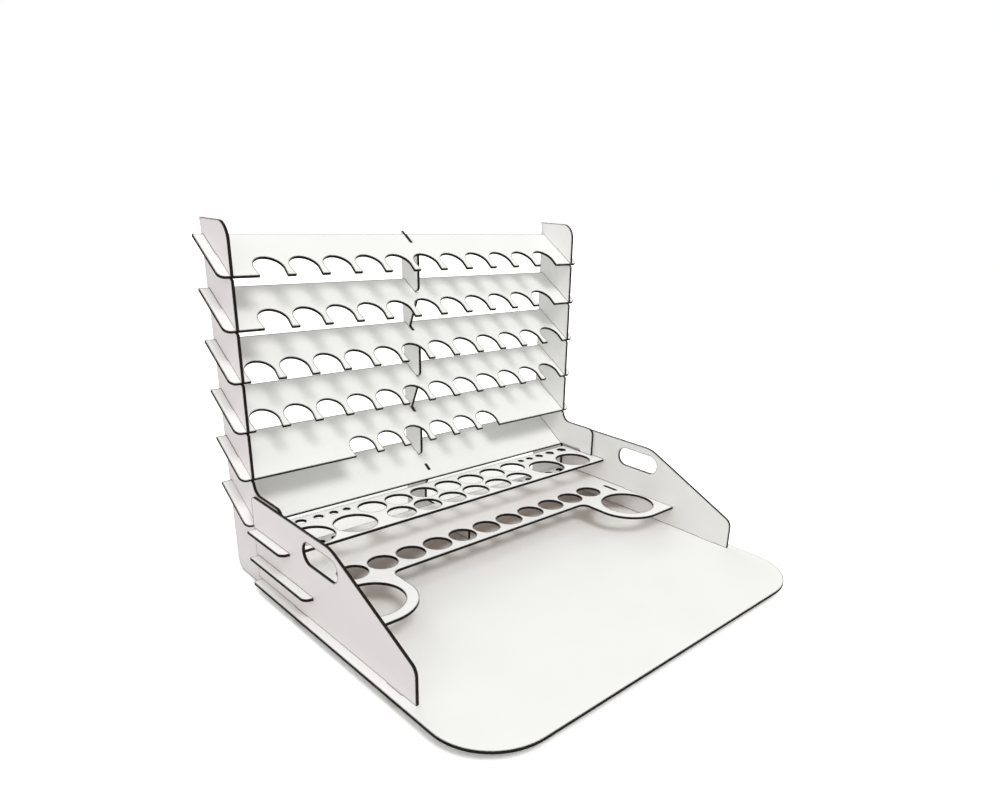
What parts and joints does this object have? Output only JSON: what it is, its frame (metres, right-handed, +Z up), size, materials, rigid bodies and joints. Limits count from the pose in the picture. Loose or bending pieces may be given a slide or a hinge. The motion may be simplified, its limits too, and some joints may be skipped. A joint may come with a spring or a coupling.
{
  "type": "hobby workstation organizer",
  "caption": "Desk organiser of slotted flat boards: work base with a tall rack of tilted, notched bottle plates, two holed shelves and sloping side arms with hand slots.",
  "frame": {"origin": "bottom centre of the bounding box, on the table top", "axes": "+X to the right across the desk, +Y from the user to the back, +Z up"},
  "size_m": [0.5, 0.4614, 0.3885],
  "materials": {
    "level_board": "white faced fibreboard with dark heat-cut edges",
    "upright_board": "white faced fibreboard with dark heat-cut edges",
    "tilted_board": "white faced fibreboard with dark heat-cut edges"
  },
  "bodies": {
    "root": {"base_board": "level_board", "left_arm_panel": "upright_board", "right_arm_panel": "upright_board", "left_rack_side": "upright_board", "right_rack_side": "upright_board", "centre_divider": "upright_board", "upper_shelf": "level_board", "lower_shelf": "level_board", "rack_plate_1": "tilted_board", "rack_plate_2": "tilted_board", "rack_plate_3": "tilted_board", "rack_plate_4": "tilted_board", "rack_plate_5": "tilted_board", "rack_plate_6": "tilted_board"}
  },
  "joints": []
}
